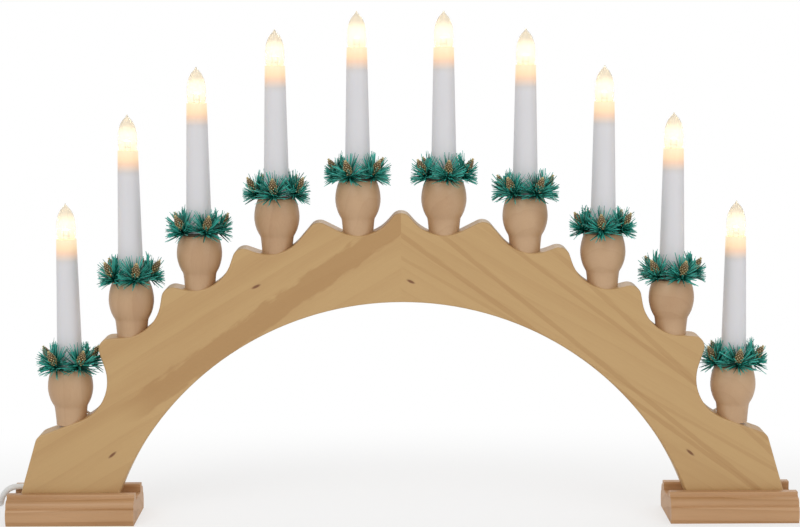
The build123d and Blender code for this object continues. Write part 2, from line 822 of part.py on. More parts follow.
plug_way = Vector(cos(radians(plug_heading)), sin(radians(plug_heading)), 0)
plug_middle = plug_height / 2
plug_start = Vector(*plug_entry, plug_middle)
lead_points = [Vector(*p) for p in cord_route] + [coil_start - way_in * cord_end_run, coil_start]
tail_corners = [coil_end + way_out * cord_end_run, plug_start - plug_way * cord_diameter]
tail_points = [coil_end, *tail_corners, plug_start]
stretches = []
cord_length = coil_path.length
for name, points in (("lead", lead_points), ("tail", tail_points)):
    radii = cord_radii(points)
    path = FilletPolyline(*points, radius=radii)
    stretch = sweep(Plane(origin=path @ 0, z_dir=path % 0) * Circle(cord_radius), path=path)
    print("cord", name, "radii", [round(r, 1) for r in radii])
    print("cord", name, "volume share", stretch.volume / (pi * cord_radius**2 * path.length))
    stretches.append(stretch)
    cord_length += path.length
print("cord: whole length", round(cord_length), "mm")
save("mains_cord", *stretches)
save("cord_coil", coil)

# Tie round the turns of the coil
tie_turn = radians(tie_angle - coil_start_angle) / (2 * pi)
bundle_line = coil_outer_radius - coil_pitch * tie_turn
bundle_outer = bundle_line + cord_radius + tie_gap
bundle_inner = bundle_line - coil_pitch * (coil_turns - 1) - cord_radius - tie_gap
bundle_height = coil_pitch + cord_diameter + 2 * tie_gap
tie_length = bundle_outer - bundle_inner
tie_place = Pos(*coil_centre, 0) * Rot(0, 0, tie_angle) * Pos((bundle_outer + bundle_inner) / 2, 0, 0)
on_table = (Align.CENTER, Align.CENTER, Align.MIN)
tie = Box(tie_length + 2 * tie_thickness, tie_width, bundle_height + 2 * tie_thickness, align=on_table)
tie -= Pos(0, 0, tie_thickness) * Box(tie_length, tie_width + overrun, bundle_height, align=on_table)
tie_top = bundle_height + 2 * tie_thickness
tie += Pos(0, 0, tie_top) * Box(tie_head_length, tie_width, tie_head_height, align=on_table)
save("cord_tie", tie_place * tie)

# Plug: a tapered strain relief and a flat body with two round pins, on the table beside the coil
plug_frame = Plane(origin=plug_start, x_dir=plug_way, z_dir=(0, 0, 1))
side_x = relief_length + plug_length * plug_side_share
plug_end = relief_length + plug_length
plug_corners = [
    (relief_length, -plug_back_width / 2),
    (side_x, -plug_face_width / 2),
    (plug_end, -plug_face_width / 2),
    (plug_end, plug_face_width / 2),
    (side_x, plug_face_width / 2),
    (relief_length, plug_back_width / 2),
]
plug = extrude(make_face(Polyline(*plug_corners, close=True)), amount=plug_middle, both=True)
plug = fillet(plug.edges(), plug_round)
relief = Rot(0, 90, 0) * Cone(relief_radius, relief_root_radius, relief_length, align=on_table)
plug += relief
pins = []
for side in (-1, 1):
    y = side * pin_spacing / 2
    start = plug_end - pin_seat
    pin = cylinder_between((start, y, 0), (plug_end + pin_length, y, 0), pin_radius)
    pins.append(fillet(pin.edges().sort_by(Axis.X)[-1], pin_round))
    plug -= cylinder_between((start, y, 0), (plug_end + overrun, y, 0), pin_radius + pin_clearance)
save("plug_body", plug_frame * plug)
save("plug_pins", *[plug_frame * pin for pin in pins])
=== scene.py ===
"""Candle arch: finishes, wreaths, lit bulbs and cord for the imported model, laid out as an add-on."""

from math import cos, pi, radians, sin, tau
from random import Random

import bmesh
import bpy
from mathutils import Matrix, Vector


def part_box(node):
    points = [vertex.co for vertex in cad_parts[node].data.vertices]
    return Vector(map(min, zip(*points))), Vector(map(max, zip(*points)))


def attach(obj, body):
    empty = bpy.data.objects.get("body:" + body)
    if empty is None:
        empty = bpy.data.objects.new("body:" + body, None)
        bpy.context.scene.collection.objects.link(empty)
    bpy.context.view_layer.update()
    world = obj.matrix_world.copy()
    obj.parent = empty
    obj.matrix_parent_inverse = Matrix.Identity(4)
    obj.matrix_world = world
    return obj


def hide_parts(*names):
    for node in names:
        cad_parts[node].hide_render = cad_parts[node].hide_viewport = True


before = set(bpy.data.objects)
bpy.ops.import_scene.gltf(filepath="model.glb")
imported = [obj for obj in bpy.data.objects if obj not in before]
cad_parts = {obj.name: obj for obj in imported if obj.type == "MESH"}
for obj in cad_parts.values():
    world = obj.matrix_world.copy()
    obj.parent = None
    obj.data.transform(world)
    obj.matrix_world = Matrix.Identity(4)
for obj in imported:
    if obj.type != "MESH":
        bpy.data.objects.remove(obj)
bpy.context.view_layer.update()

bl_info = {
    "name": "Candle Arch",
    "version": (1, 0, 0),
    "blender": (4, 5, 0),
    "location": "View3D > Sidebar > Candle Arch",
    "description": "Dresses a pine candle arch with wood, candles, bulbs, wreaths and its cord",
    "category": "Object",
}

MM = 0.001
CANDLES = range(1, 11)
MERGE_DISTANCE = 0.01 * MM
SHARP_ANGLE = radians(40)

# Marks in the boards: depth and half width in metres, the rest in units of a mark's length and width
MARK_DEPTH = 10
TICK_WIDTH = 0.0013
TICK_EDGE = (1.0, 0.35)
BAND_WANDER = 1.3
BAND_FADE = (-2.1, -0.9)
BAND_EDGE = (1.05, 0.7)


# Helpers for places, meshes and nodes
def candle_spot(number):
    """The axis X and the top of the cup of one candle."""
    low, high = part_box(f"candle_cup_{number:02d}")
    return (low[0] + high[0]) / 2, high[2]


def spun(bm, profile, x, base, segments):
    """A turned shell from radius and height pairs in mm, round an upright axis at x."""
    verts = [bm.verts.new((x + r * MM, 0, base + z * MM)) for r, z in profile]
    edges = [bm.edges.new(pair) for pair in zip(verts, verts[1:])]
    bmesh.ops.spin(
        bm, geom=verts + edges, cent=(x, 0, 0), axis=(0, 0, 1), angle=tau, steps=segments, use_merge=True
    )
    bmesh.ops.remove_doubles(bm, verts=bm.verts, dist=MERGE_DISTANCE)


def finished_piece(name, bm, materials, body, nodes):
    """Turns a bmesh into a piece that rides on a body and stands for CAD nodes."""
    bmesh.ops.recalc_face_normals(bm, faces=bm.faces)
    mesh = bpy.data.meshes.new(name)
    bm.to_mesh(mesh)
    bm.free()
    for material in materials:
        mesh.materials.append(material)
    mesh.shade_smooth()
    mesh.set_sharp_from_angle(angle=SHARP_ANGLE)
    obj = bpy.data.objects.new(name, mesh)
    bpy.context.scene.collection.objects.link(obj)
    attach(obj, body)
    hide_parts(*nodes)


def add(tree, kind, inputs=None, **settings):
    """A node with its settings, and with values or links on its inputs."""
    node = tree.nodes.new(kind)
    for key, value in settings.items():
        setattr(node, key, value)
    for key, value in (inputs or {}).items():
        if isinstance(value, bpy.types.NodeSocket):
            tree.links.new(value, node.inputs[key])
        else:
            node.inputs[key].default_value = value
    return node


def calculated(tree, operation, *values):
    """The result of a sum on up to three values or links."""
    return add(tree, "ShaderNodeMath", dict(enumerate(values)), operation=operation).outputs[0]


def mixed(tree, factor, first, second):
    """The mix of two colours."""
    mix = add(tree, "ShaderNodeMix", {0: factor, 6: first, 7: second}, data_type="RGBA")
    return mix.outputs[2]


def ramp(tree, factor, stops):
    """A colour ramp from a list of place and colour."""
    node = add(tree, "ShaderNodeValToRGB", {0: factor})
    elements = node.color_ramp.elements
    while len(elements) < len(stops):
        elements.new(0.5)
    for element, (place, colour) in zip(elements, stops):
        element.position = place
        element.color = (*colour, 1)
    return node.outputs[0]


def smooth_range(tree, value, low, high):
    """Rises smoothly from 0 at low to 1 at high; high may be the smaller."""
    node = add(
        tree,
        "ShaderNodeMapRange",
        {"Value": value, "From Min": low, "From Max": high},
        interpolation_type="SMOOTHSTEP",
    )
    return node.outputs[0]


def new_material(name, roughness):
    """A material with its node tree and its shader."""
    material = bpy.data.materials.new(name)
    material.use_nodes = True
    shader = material.node_tree.nodes["Principled BSDF"]
    shader.inputs["Roughness"].default_value = roughness
    return material, material.node_tree, shader


def attribute(tree, name):
    """A value stored on the mesh's vertices."""
    return add(tree, "ShaderNodeAttribute", attribute_name=name).outputs["Fac"]


def object_place(tree):
    """The place on the object, in metres."""
    return add(tree, "ShaderNodeTexCoord").outputs["Object"]


def seen_share(tree):
    """1 for what the camera sees, straight or through glass, and 0 for light on the object."""
    path = add(tree, "ShaderNodeLightPath").outputs
    return calculated(tree, "MAXIMUM", path["Is Camera Ray"], path["Is Transmission Ray"])


def bumped(tree, shader, height, strength, distance):
    """Feeds a height to the shader as a bump."""
    bump = add(tree, "ShaderNodeBump", {"Height": height, "Strength": strength, "Distance": distance})
    tree.links.new(bump.outputs[0], shader.inputs["Normal"])


def paint(node, material):
    """Gives a carried-over CAD node its material."""
    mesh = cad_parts[node].data
    if not mesh.materials:
        mesh.materials.append(material)
    for place in range(len(mesh.materials)):
        mesh.materials[place] = material


# Effects that several materials share
def grain_group():
    """Pine grain along X: growth rings, broad tone, fibres and a height for the bump."""
    tree = bpy.data.node_groups.new("pine grain", "ShaderNodeTree")
    sockets = (
        ("Vector", "NodeSocketVector"),
        ("Light", "NodeSocketColor"),
        ("Dark", "NodeSocketColor"),
        ("Ring Scale", "NodeSocketFloat"),
        ("Ring Depth", "NodeSocketFloat"),
        ("Tone Depth", "NodeSocketFloat"),
    )
    for name, kind in sockets:
        tree.interface.new_socket(name, in_out="INPUT", socket_type=kind)
    for name, kind in (("Color", "Color"), ("Roughness", "Float"), ("Height", "Float")):
        tree.interface.new_socket(name, in_out="OUTPUT", socket_type=f"NodeSocket{kind}")
    start = add(tree, "NodeGroupInput").outputs
    along = add(tree, "ShaderNodeVectorMath", {0: start["Vector"], 1: (0.14, 1, 1)}, operation="MULTIPLY")
    warp = add(tree, "ShaderNodeTexNoise", {"Vector": along.outputs[0], "Scale": 26, "Detail": 3})
    sway = add(
        tree,
        "ShaderNodeVectorMath",
        {0: warp.outputs["Color"], 1: (0.016, 0.016, 0.016), 2: along.outputs[0]},
        operation="MULTIPLY_ADD",
    )
    rings = add(
        tree,
        "ShaderNodeTexWave",
        {"Vector": sway.outputs[0], "Scale": start["Ring Scale"], "Distortion": 1.2, "Detail": 2},
        wave_type="RINGS",
        rings_direction="X",
        wave_profile="SAW",
    )
    late_wood = calculated(tree, "POWER", rings.outputs["Fac"], 2.4)
    tone = add(tree, "ShaderNodeTexNoise", {"Vector": sway.outputs[0], "Scale": 30, "Detail": 2})
    thin = add(tree, "ShaderNodeVectorMath", {0: start["Vector"], 1: (0.03, 1, 1)}, operation="MULTIPLY")
    fibre = add(tree, "ShaderNodeTexNoise", {"Vector": thin.outputs[0], "Scale": 1300, "Detail": 2})
    ring_part = calculated(tree, "MULTIPLY", late_wood, start["Ring Depth"])
    broad_tone = smooth_range(tree, tone.outputs[0], low=0.42, high=0.68)
    tone_part = calculated(tree, "MULTIPLY", broad_tone, start["Tone Depth"])
    fibre_part = calculated(tree, "MULTIPLY_ADD", fibre.outputs[0], 0.24, -0.12)
    dark = calculated(tree, "ADD", calculated(tree, "ADD", ring_part, tone_part), fibre_part)
    clamped = add(tree, "ShaderNodeClamp", {0: dark}).outputs[0]
    colour = mixed(tree, clamped, start["Light"], start["Dark"])
    rough = calculated(tree, "MULTIPLY_ADD", fibre.outputs[0], 0.16, 0.34)
    height = calculated(tree, "MULTIPLY_ADD", late_wood, 0.35, fibre.outputs[0])
    add(tree, "NodeGroupOutput", {"Color": colour, "Roughness": rough, "Height": height})


def speckle_group():
    """Fine moulded texture: a height and a small spread of roughness."""
    tree = bpy.data.node_groups.new("moulded speckle", "ShaderNodeTree")
    for name in ("Scale", "Roughness"):
        tree.interface.new_socket(name, in_out="INPUT", socket_type="NodeSocketFloat")
    for name in ("Roughness", "Height"):
        tree.interface.new_socket(name, in_out="OUTPUT", socket_type="NodeSocketFloat")
    start = add(tree, "NodeGroupInput").outputs
    place = object_place(tree)
    noise = add(tree, "ShaderNodeTexNoise", {"Vector": place, "Scale": start["Scale"], "Detail": 3})
    spread = calculated(tree, "MULTIPLY", calculated(tree, "SUBTRACT", noise.outputs[0], 0.5), 0.25)
    rough = calculated(tree, "ADD", start["Roughness"], spread)
    add(tree, "NodeGroupOutput", {"Roughness": rough, "Height": noise.outputs[0]})


def face_mark(tree, place, x, z, length, width, slope):
    """Coordinates of a mark that runs through the board, in units of its own length and width."""
    return add(
        tree,
        "ShaderNodeMapping",
        {
            "Vector": place,
            "Location": (x, 0, z),
            "Rotation": (0, radians(slope), 0),
            "Scale": (length, MARK_DEPTH, width),
        },
        vector_type="TEXTURE",
    ).outputs[0]


def pine(name, colours, turn, shift, ring_scale, ring_depth, tone_depth, bands=(), ticks=()):
    """Lacquered pine whose grain runs along X after a turn in degrees and a shift in metres."""
    look = bpy.context.scene.candle_arch_finish
    material, tree, shader = new_material(name, roughness=0.4)
    place = object_place(tree)
    turned = add(
        tree,
        "ShaderNodeMapping",
        {"Vector": place, "Location": shift, "Rotation": [radians(angle) for angle in turn]},
    )
    light, dark = colours
    grain = add(
        tree,
        "ShaderNodeGroup",
        {
            "Vector": turned.outputs[0],
            "Light": (*light, 1),
            "Dark": (*dark, 1),
            "Ring Scale": ring_scale,
            "Ring Depth": ring_depth,
            "Tone Depth": tone_depth,
        },
        node_tree=bpy.data.node_groups["pine grain"],
    )
    colour = grain.outputs["Color"]
    for x, z, length, width, slope, strength in bands:
        across = face_mark(tree, place, x, z, length, width, slope)
        wander = add(tree, "ShaderNodeTexNoise", {"Vector": across, "Scale": 2.2, "Detail": 3})
        moved = add(
            tree,
            "ShaderNodeVectorMath",
            {0: wander.outputs["Color"], 1: (0, 0, BAND_WANDER), 2: across},
            operation="MULTIPLY_ADD",
        )
        level = add(tree, "ShaderNodeSeparateXYZ", {0: moved.outputs[0]})
        centred = calculated(tree, "SUBTRACT", level.outputs["Z"], BAND_WANDER / 2)
        off_middle = calculated(tree, "ABSOLUTE", centred)
        faded = calculated(tree, "MULTIPLY", smooth_range(tree, level.outputs["X"], *BAND_FADE), strength)
        inside = calculated(tree, "MULTIPLY", smooth_range(tree, off_middle, *BAND_EDGE), faded)
        colour = mixed(tree, inside, colour, (*look.pine_band, 1))
    for x, z, length, slope in ticks:
        mark = face_mark(tree, place, x, z, length, TICK_WIDTH, slope)
        reach = add(tree, "ShaderNodeVectorMath", {0: mark}, operation="LENGTH")
        inside = smooth_range(tree, reach.outputs["Value"], *TICK_EDGE)
        colour = mixed(tree, inside, colour, (*look.pine_tick, 1))
    tree.links.new(colour, shader.inputs["Base Color"])
    tree.links.new(grain.outputs["Roughness"], shader.inputs["Roughness"])
    shader.inputs["Coat Weight"].default_value = 0.06
    shader.inputs["Coat Roughness"].default_value = 0.25
    bumped(tree, shader, grain.outputs["Height"], strength=0.12, distance=0.0004)
    return material


def moulded(name, colour, roughness, scale, metal=0.0):
    """Plastic or metal with a fine surface texture."""
    material, tree, shader = new_material(name, roughness)
    shader.inputs["Base Color"].default_value = (*colour, 1)
    shader.inputs["Metallic"].default_value = metal
    speckle = add(
        tree,
        "ShaderNodeGroup",
        {"Scale": scale, "Roughness": roughness},
        node_tree=bpy.data.node_groups["moulded speckle"],
    )
    tree.links.new(speckle.outputs["Roughness"], shader.inputs["Roughness"])
    bumped(tree, shader, speckle.outputs["Height"], strength=0.08, distance=0.0002)
    return material


def candle_material():
    """White sleeve, lit from inside at its top where the neck of the bulb stands."""
    look = bpy.context.scene.candle_arch_finish
    material, tree, shader = new_material("candle_sleeve_white", roughness=0.35)
    rise = attribute(tree, "rise")
    lit = smooth_range(tree, rise, low=0.071, high=0.0875)
    shell = mixed(tree, lit, (*look.candle_white, 1), (*look.candle_lit, 1))
    tree.links.new(shell, shader.inputs["Base Color"])
    noise = add(tree, "ShaderNodeTexNoise", {"Vector": object_place(tree), "Scale": 700, "Detail": 2})
    bumped(tree, shader, noise.outputs[0], strength=0.05, distance=0.0002)
    glow = ramp(
        tree,
        smooth_range(tree, rise, low=0.06, high=0.09),
        (
            (0.0, (0, 0, 0)),
            (0.5, (0.02, 0.012, 0.006)),
            (0.78, (0.62, 0.3, 0.1)),
            (0.9, (0.85, 0.6, 0.3)),
            (1.0, (0.9, 0.78, 0.5)),
        ),
    )
    tree.links.new(glow, shader.inputs["Emission Color"])
    shader.inputs["Emission Strength"].default_value = 0.6
    shader.inputs["Subsurface Weight"].default_value = 0.1
    shader.inputs["Subsurface Radius"].default_value = (0.004, 0.003, 0.002)
    return material


def lamp_materials():
    """Lit glass, its glowing filament, dark mount wires and the brass cap."""
    look = bpy.context.scene.candle_arch_finish
    glass, tree, shader = new_material("lit_lamp_glass", roughness=0.06)
    shader.inputs["Base Color"].default_value = (1, 0.94, 0.82, 1)
    shader.inputs["Transmission Weight"].default_value = 0.55
    shader.inputs["IOR"].default_value = 1.2
    rise = attribute(tree, "rise")
    glow = ramp(
        tree,
        smooth_range(tree, rise, low=0.081, high=0.1145),
        (
            (0.0, (1.0, 0.68, 0.32)),
            (0.3, (1.0, 0.84, 0.55)),
            (0.45, (1.0, 0.93, 0.76)),
            (0.7, (1.0, 0.9, 0.7)),
            (0.9, (0.08, 0.07, 0.06)),
        ),
    )
    tree.links.new(glow, shader.inputs["Emission Color"])
    shader.inputs["Emission Strength"].default_value = 0.2
    filament, _, shader = new_material("lit_filament", roughness=0.3)
    shader.inputs["Emission Color"].default_value = (1, 0.9, 0.66, 1)
    shader.inputs["Emission Strength"].default_value = 6
    mount = moulded("lamp_mount_wire", (0.05, 0.035, 0.02), roughness=0.4, scale=900, metal=0.6)
    cap = moulded("lamp_cap_brass", look.brass, roughness=0.32, scale=600, metal=1.0)
    return [glass, filament, mount, cap]


def needle_material():
    """Plastic needles: green, darkened towards the root by painted shade inside the tuft and brightened to
    turquoise towards the tip by a painted highlight.
    """
    look = bpy.context.scene.candle_arch_finish
    material, tree, shader = new_material("fir_needle_green", roughness=0.3)
    tip = attribute(tree, "tip")
    shade = attribute(tree, "shade")
    spread = calculated(tree, "MULTIPLY", calculated(tree, "SUBTRACT", shade, 0.5), 0.7)
    reach = calculated(tree, "ADD", tip, spread)
    # Ramp from painted shade at the root, through the needles' own green, to a painted highlight at the tip
    colour = ramp(
        tree,
        reach,
        ((0.0, look.needle_root_painted_shade), (0.52, look.needle_middle), (1.0, look.needle_tip)),
    )
    tree.links.new(colour, shader.inputs["Base Color"])
    rough = calculated(tree, "MULTIPLY_ADD", shade, 0.2, 0.2)
    tree.links.new(rough, shader.inputs["Roughness"])
    return material


def cone_material():
    """Small fir cone: brown between the scales and gold on their tips."""
    look = bpy.context.scene.candle_arch_finish
    material, tree, shader = new_material("fir_cone_gold", roughness=0.35)
    tip = attribute(tree, "tip")
    noise = add(tree, "ShaderNodeTexNoise", {"Vector": object_place(tree), "Scale": 1500, "Detail": 2})
    spread = calculated(tree, "MULTIPLY", calculated(tree, "SUBTRACT", noise.outputs[0], 0.5), 0.5)
    worn = calculated(tree, "ADD", tip, spread)
    colour = ramp(tree, worn, ((0.0, look.cone_brown), (0.5, look.cone_gold), (1.0, look.cone_tip)))
    tree.links.new(colour, shader.inputs["Base Color"])
    tree.links.new(calculated(tree, "MULTIPLY", worn, 0.35), shader.inputs["Metallic"])
    bumped(tree, shader, noise.outputs[0], strength=0.2, distance=0.0002)
    return material


# Values a user would change
def colour_property(name, description, default):
    return bpy.props.FloatVectorProperty(
        name=name, description=description, subtype="COLOR", size=3, min=0, max=1, default=default
    )


def length_property(name, description, default):
    return bpy.props.FloatProperty(
        name=name, description=description, default=default, min=0, subtype="DISTANCE", unit="LENGTH"
    )


class CandleArchFinish(bpy.types.PropertyGroup):
    """Colours of the arch, its candles, wreaths and cord."""

    pine_light: colour_property("Pine, light", "Early wood of the lacquered pine", (0.56, 0.358, 0.156))
    pine_dark: colour_property("Pine, dark", "Late wood and reddish streaks", (0.385, 0.19, 0.066))
    pine_band: colour_property("Pine, band", "Broad reddish bands in the boards", (0.43, 0.238, 0.09))
    pine_tick: colour_property("Pine, ticks", "Small resin marks", (0.2, 0.08, 0.03))
    foot_light: colour_property("Foot, light", "Early wood of the feet", (0.57, 0.335, 0.17))
    cup_light: colour_property("Cup, light", "Early wood of the turned cups", (0.56, 0.36, 0.205))
    cup_dark: colour_property("Cup, dark", "Late wood of the turned cups", (0.37, 0.19, 0.085))
    candle_white: colour_property("Candle", "Plastic candle sleeves", (0.735, 0.725, 0.745))
    candle_lit: colour_property("Candle, lit top", "Sleeve where the bulb shines through", (0.62, 0.47, 0.33))
    # The needle root colour holds painted shade from inside the tuft, and the needle tip colour holds a
    # painted highlight
    needle_root_painted_shade: colour_property("Needle root", "Needles near the bud", (0.002, 0.036, 0.026))
    needle_middle: colour_property("Needle", "Middle of the needles", (0.004, 0.135, 0.1))
    needle_tip: colour_property("Needle tip", "Tips of the needles", (0.055, 0.5, 0.41))
    cone_brown: colour_property("Cone, brown", "Between the scales of the cones", (0.10, 0.05, 0.014))
    cone_gold: colour_property("Cone, gold", "Scales of the cones", (0.6, 0.45, 0.18))
    cone_tip: colour_property("Cone tip", "Edges of the scales", (0.8, 0.67, 0.38))
    ring_brown: colour_property("Ring", "Wrapped wire ring of the wreaths", (0.045, 0.03, 0.015))
    cord_white: colour_property("Cord", "Cord, plug, strap and wires", (0.80, 0.80, 0.78))
    brass: colour_property("Brass", "Sockets, caps and contacts", (0.72, 0.48, 0.16))
    steel: colour_property("Steel", "Screws and staples", (0.5, 0.5, 0.49))


class CandleArchWreath(bpy.types.PropertyGroup):
    """Sizes of the wreaths on the cups."""

    tufts: bpy.props.IntProperty(name="Tufts", description="Tufts on each ring", default=5, min=3, max=8)
    needles: bpy.props.IntProperty(
        name="Needles", description="Needles in each tuft", default=124, min=8, max=160
    )
    reach: length_property("Reach", "Farthest needle tip from the candle's axis", 0.0235)
    needle_length: length_property("Needle length", "Longest needle", 0.0172)
    needle_width: length_property("Needle width", "Width of a needle at its root", 0.00135)
    cone_length: length_property("Cone length", "Length of a fir cone", 0.0112)


# Camera, floor, backdrop and light
class CANDLEARCH_OT_stage(bpy.types.Operator):
    """Set the camera, the pale floor, the soft light and the white surroundings"""

    bl_idname = "candle_arch.stage"
    bl_label = "Set stage"

    sensor_width = 36
    focal_length = 79.29
    sideways_shift = -0.0015
    camera_place = (0, -1.2, 0.336)
    camera_tilt = 7.5
    camera_roll = -0.25
    # Lamps: name, place in metres, power in watts, width in metres
    lamps = (
        ("key", (-0.9, -1.5, 1.3), 9.0, 1.1),
        ("fill", (1.2, -1.3, 0.8), 5.0, 1.2),
        ("rear", (0.3, 1.3, 1.2), 7.0, 1.2),
    )
    lamp_target = Vector((0, 0, 0.15))
    light_strength = 0.62
    seen_strength = 1.0
    floor_reach = 30
    floor_grey = (0.9, 0.9, 0.9, 1)
    shadow_stretch = (0.62, 1.5, 1)
    shadow_near = 0.12
    shadow_far = 0.45
    near_white = 0.55
    more_white = 0.45

    def execute(self, context):
        scene = context.scene
        scene.view_settings.view_transform = "Standard"
        lens = bpy.data.cameras.new("view")
        lens.sensor_width = self.sensor_width
        lens.lens = self.focal_length
        lens.shift_x = self.sideways_shift
        camera = bpy.data.objects.new("view", lens)
        scene.collection.objects.link(camera)
        tilt = Matrix.Rotation(radians(90 - self.camera_tilt), 4, "X")
        roll = Matrix.Rotation(radians(self.camera_roll), 4, "Z")
        camera.matrix_world = Matrix.Translation(self.camera_place) @ (tilt @ roll)
        scene.camera = camera
        self.floor(scene)
        for name, place, power, width in self.lamps:
            light = bpy.data.lights.new(name, "AREA")
            light.energy = power
            light.size = width
            lamp = bpy.data.objects.new(name, light)
            scene.collection.objects.link(lamp)
            aim = (self.lamp_target - Vector(place)).to_track_quat("-Z", "Y")
            lamp.matrix_world = Matrix.Translation(place) @ aim.to_matrix().to_4x4()
        world = bpy.data.worlds.new("white surroundings")
        scene.world = world
        world.use_nodes = True
        tree = world.node_tree
        levels = {"Value": seen_share(tree), "To Min": self.light_strength, "To Max": self.seen_strength}
        strength = add(tree, "ShaderNodeMapRange", levels)
        tree.links.new(strength.outputs[0], tree.nodes["Background"].inputs["Strength"])
        tree.nodes["Background"].inputs["Color"].default_value = (1, 1, 1, 1)
        return {"FINISHED"}

    def floor(self, scene):
        """A wide pale floor that keeps the shadows near the object and is white farther off."""
        bm = bmesh.new()
        bmesh.ops.create_grid(bm, x_segments=1, y_segments=1, size=self.floor_reach)
        mesh = bpy.data.meshes.new("floor")
        bm.to_mesh(mesh)
        bm.free()
        floor = bpy.data.objects.new("floor", mesh)
        scene.collection.objects.link(floor)
        material = bpy.data.materials.new("pale_floor")
        material.use_nodes = True
        tree = material.node_tree
        tree.nodes.remove(tree.nodes["Principled BSDF"])
        flat = add(
            tree,
            "ShaderNodeVectorMath",
            {0: object_place(tree), 1: self.shadow_stretch},
            operation="MULTIPLY",
        )
        away = add(tree, "ShaderNodeVectorMath", {0: flat.outputs[0]}, operation="LENGTH")
        clear = smooth_range(tree, away.outputs["Value"], self.shadow_near, self.shadow_far)
        far = calculated(tree, "MULTIPLY_ADD", clear, self.more_white, self.near_white)
        diffuse = add(tree, "ShaderNodeBsdfDiffuse", {"Color": self.floor_grey})
        white = add(tree, "ShaderNodeEmission", {"Color": (1, 1, 1, 1), "Strength": 1.0})
        whiteness = calculated(tree, "MULTIPLY", seen_share(tree), far)
        shaders = {0: whiteness, 1: diffuse.outputs[0], 2: white.outputs[0]}
        mix = add(tree, "ShaderNodeMixShader", shaders)
        tree.links.new(mix.outputs[0], tree.nodes["Material Output"].inputs["Surface"])
        mesh.materials.append(material)


# Mains cord with its coil
class CANDLEARCH_OT_cord(bpy.types.Operator):
    """Lay the mains cord from the leg's groove over the foot into its coil and on to the plug"""

    bl_idname = "candle_arch.cord"
    bl_label = "Lay cord"

    route = (
        (-243.0, 8.4, 46.0),
        (-243.0, 8.4, 33.5),
        (-250.0, 8.4, 23.0),
        (-260.0, 8.4, 19.4),
        (-268.0, 8.4, 20.2),
        (-275.8, 8.7, 19.2),
        (-281.2, 10.2, 13.8),
        (-283.6, 13.6, 7.9),
        (-285.1, 19.2, 4.4),
    )
    radius = 2.1
    coil_centre = Vector((-328.0, 20.0, 3.3))
    coil_inner_radius = 16.0
    coil_pitch = 4.65
    coil_start_angle = 30.0
    quarters_in = 17
    quarters_out = 16
    points_per_turn = 16
    plug_start = Vector((-371.0, 39.1, 6.85))
    plug_heading = 195.0
    end_run = 8.0
    length = 1.45

    def coil_points(self):
        """Control points of the coil: inwards on the lower layer, then outwards on the upper one."""
        points = []
        # The curve touches the middles of the lines between its points, nearer the centre by this share
        shrink = cos(pi / self.points_per_turn)
        steps = (self.quarters_in + self.quarters_out) * self.points_per_turn // 4
        for step in range(steps + 1):
            past = step * 4 / self.points_per_turn - self.quarters_in
            radius = (self.coil_inner_radius + abs(past) * self.coil_pitch / 4) / shrink
            climb = min(max((past + 1) / 2, 0), 1)
            rise = self.coil_pitch * climb * climb * (3 - 2 * climb)
            angle = radians(self.coil_start_angle) + (past + self.quarters_in) * pi / 2
            points.append(self.coil_centre + Vector((radius * cos(angle), radius * sin(angle), rise)))
        return points

    def execute(self, context):
        turns = self.coil_points()
        way_in = (turns[1] - turns[0]).normalized()
        way_out = (turns[-1] - turns[-2]).normalized()
        way_plug = Vector((cos(radians(self.plug_heading)), sin(radians(self.plug_heading)), 0))
        lead = [Vector(place) for place in self.route] + [turns[0] - way_in * self.end_run]
        tail = [turns[-1] + way_out * self.end_run, self.plug_start - way_plug * 2 * self.radius]
        points = [place * MM for place in lead + turns + tail + [self.plug_start]]
        curve = bpy.data.curves.new("mains_cord_line", "CURVE")
        curve.dimensions = "3D"
        curve.bevel_depth = self.radius * MM
        curve.bevel_resolution = 3
        curve.use_fill_caps = True
        spline = curve.splines.new("NURBS")
        spline.points.add(len(points) - 1)
        for control, place in zip(spline.points, points):
            control.co = (*place, 1)
        spline.order_u = 3
        spline.use_endpoint_u = True
        spline.resolution_u = 4
        look = context.scene.candle_arch_finish
        white = moulded("cord_sheath_white", look.cord_white, roughness=0.45, scale=300)
        curve.materials.append(white)
        cord = bpy.data.objects.new("white_mains_cord", curve)
        context.scene.collection.objects.link(cord)
        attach(cord, "arch")
        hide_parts("mains_cord", "cord_coil")
        for node in ("cord_tie", "plug_body", "cord_strap"):
            paint(node, white)
        nickel = moulded("pin_nickel_plate", (0.62, 0.6, 0.56), roughness=0.22, scale=500, metal=1.0)
        paint("plug_pins", nickel)
        return {"FINISHED"}


